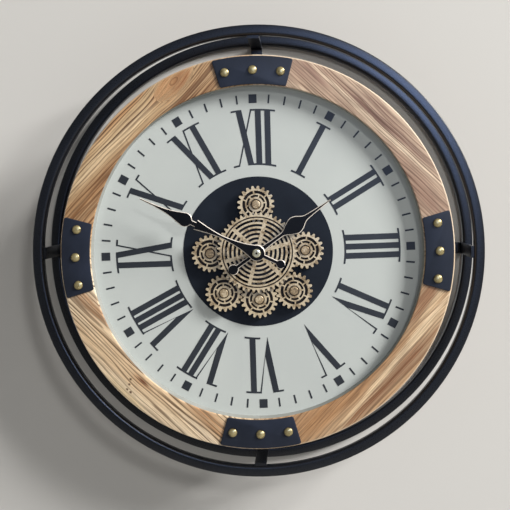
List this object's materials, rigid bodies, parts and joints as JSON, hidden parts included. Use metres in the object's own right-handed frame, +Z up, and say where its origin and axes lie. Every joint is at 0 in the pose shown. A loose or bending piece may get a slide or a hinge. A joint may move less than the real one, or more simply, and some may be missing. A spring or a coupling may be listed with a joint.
{
  "type": "wall clock",
  "caption": "Round wall clock with a wooden ring in an open black steel cage, Roman numerals, shaped hands and turning show gears.",
  "frame": {"origin": "on the axis of the hands, in the plane of the wall behind the back ring", "axes": "+Z up, the dial faces -Y, +X to the right of someone facing the dial"},
  "size_m": [0.46, 0.0985, 0.46],
  "materials": {
    "black_steel": "satin black powder coat",
    "plate_steel": "satin black paint",
    "wood": "waxed, open grain",
    "nail_brass": "antique, polished dome",
    "dial_card": "matt off-white print",
    "dial_ink": "matt dark slate ink",
    "disc_black": "matt blue-black print",
    "board": "raw hardboard",
    "gear_gold": "antique gold paint with a dark wash",
    "gear_dark": "dark brown paint",
    "hand_black": "black with bright edges",
    "shaft_brass": "turned",
    "movement_plastic": "moulded black",
    "knob_plastic": "moulded pale grey",
    "cell_jacket": "plain grey jacket",
    "zinc_steel": "zinc plated",
    "lead_sheath": "red insulation"
  },
  "bodies": {
    "clock_body": {"front_ring": "black_steel", "back_ring": "black_steel", "bracket_top": "black_steel", "bracket_right": "black_steel", "bracket_bottom": "black_steel", "bracket_left": "black_steel", "drum_hoop": "black_steel", "drum_flange_front": "black_steel", "drum_flange_rear": "black_steel", "cover_plate_top": "plate_steel", "cover_plate_right": "plate_steel", "cover_plate_bottom": "plate_steel", "cover_plate_left": "plate_steel", "wood_segment_upper_right": "wood", "wood_segment_upper_left": "wood", "wood_segment_lower_left": "wood", "wood_segment_lower_right": "wood", "dome_nails": "nail_brass", "dial_face": "dial_card", "hour_numerals": "dial_ink", "minute_marks": "dial_ink", "centre_disc": "disc_black", "dial_board": "board", "back_panel": "board", "gear_studs": "gear_gold", "threaded_bush": "shaft_brass", "bush_nut": "shaft_brass", "movement_case": "movement_plastic", "movement_back": "movement_plastic", "drive_case": "movement_plastic", "drive_cover": "movement_plastic", "battery_tray": "movement_plastic", "movement_cell": "cell_jacket", "drive_cells": "cell_jacket", "bracket_screws": "zinc_steel", "panel_screws": "zinc_steel", "segment_screws": "zinc_steel", "hanger_screws": "zinc_steel", "hanger_plate": "zinc_steel", "tray_contacts": "zinc_steel", "drive_motor": "zinc_steel", "wheel_clip": "zinc_steel", "drive_leads": "lead_sheath"},
    "minute_hand_body": {"minute_hand": "hand_black", "minute_arbor": "shaft_brass", "hand_nut": "shaft_brass"},
    "hour_hand_body": {"hour_hand": "hand_black", "hour_tube": "shaft_brass"},
    "setting_knob_body": {"setting_knob": "knob_plastic"},
    "centre_wheel_body": {"front_wheel": "gear_gold", "drive_wheel": "gear_dark"},
    "gear_top_body": {"gear_top": "gear_gold", "output_shaft": "gear_gold"},
    "gear_right_body": {"gear_right": "gear_gold"},
    "gear_bottom_body": {"gear_bottom": "gear_gold"},
    "gear_left_body": {"gear_left": "gear_gold"},
    "gear_lower_left_body": {"gear_lower_left": "gear_gold"},
    "gear_lower_right_body": {"gear_lower_right": "gear_gold"}
  },
  "joints": [
    {"name": "minute_hand_turn", "type": "hinge", "parent": "clock_body", "child": "minute_hand_body", "pos_m": [0, 0, 0], "axis": [0, 1, 0], "continuous": true},
    {"name": "hour_hand_turn", "type": "hinge", "parent": "clock_body", "child": "hour_hand_body", "pos_m": [0, 0, 0], "axis": [0, 1, 0], "continuous": true},
    {"name": "setting_knob_turn", "type": "hinge", "parent": "clock_body", "child": "setting_knob_body", "pos_m": [0.014, 0, 0.012], "axis": [0, 1, 0], "continuous": true},
    {"name": "centre_wheel_turn", "type": "hinge", "parent": "clock_body", "child": "centre_wheel_body", "pos_m": [0, 0, 0], "axis": [0, 1, 0], "continuous": true},
    {"name": "gear_top_turn", "type": "hinge", "parent": "clock_body", "child": "gear_top_body", "pos_m": [0, 0, 0.0477], "axis": [0, 1, 0], "continuous": true},
    {"name": "gear_right_turn", "type": "hinge", "parent": "clock_body", "child": "gear_right_body", "pos_m": [0.0477, 0, 0], "axis": [0, 1, 0], "continuous": true},
    {"name": "gear_bottom_turn", "type": "hinge", "parent": "clock_body", "child": "gear_bottom_body", "pos_m": [0, 0, -0.0477], "axis": [0, 1, 0], "continuous": true},
    {"name": "gear_left_turn", "type": "hinge", "parent": "clock_body", "child": "gear_left_body", "pos_m": [-0.0477, 0, 0], "axis": [0, 1, 0], "continuous": true},
    {"name": "gear_lower_left_turn", "type": "hinge", "parent": "clock_body", "child": "gear_lower_left_body", "pos_m": [-0.0352, 0, -0.04016], "axis": [0, 1, 0], "continuous": true},
    {"name": "gear_lower_right_turn", "type": "hinge", "parent": "clock_body", "child": "gear_lower_right_body", "pos_m": [0.0352, 0, -0.04016], "axis": [0, 1, 0], "continuous": true}
  ],
  "couplings": [
    {"joint": "hour_hand_turn", "follows": "minute_hand_turn", "ratio": 0.083333},
    {"joint": "setting_knob_turn", "follows": "minute_hand_turn", "ratio": -1},
    {"joint": "gear_top_turn", "follows": "centre_wheel_turn", "ratio": -1.65},
    {"joint": "gear_right_turn", "follows": "centre_wheel_turn", "ratio": -1.65},
    {"joint": "gear_bottom_turn", "follows": "centre_wheel_turn", "ratio": -1.65},
    {"joint": "gear_left_turn", "follows": "centre_wheel_turn", "ratio": -1.65},
    {"joint": "gear_lower_left_turn", "follows": "centre_wheel_turn", "ratio": 1.65},
    {"joint": "gear_lower_right_turn", "follows": "centre_wheel_turn", "ratio": 1.65}
  ]
}
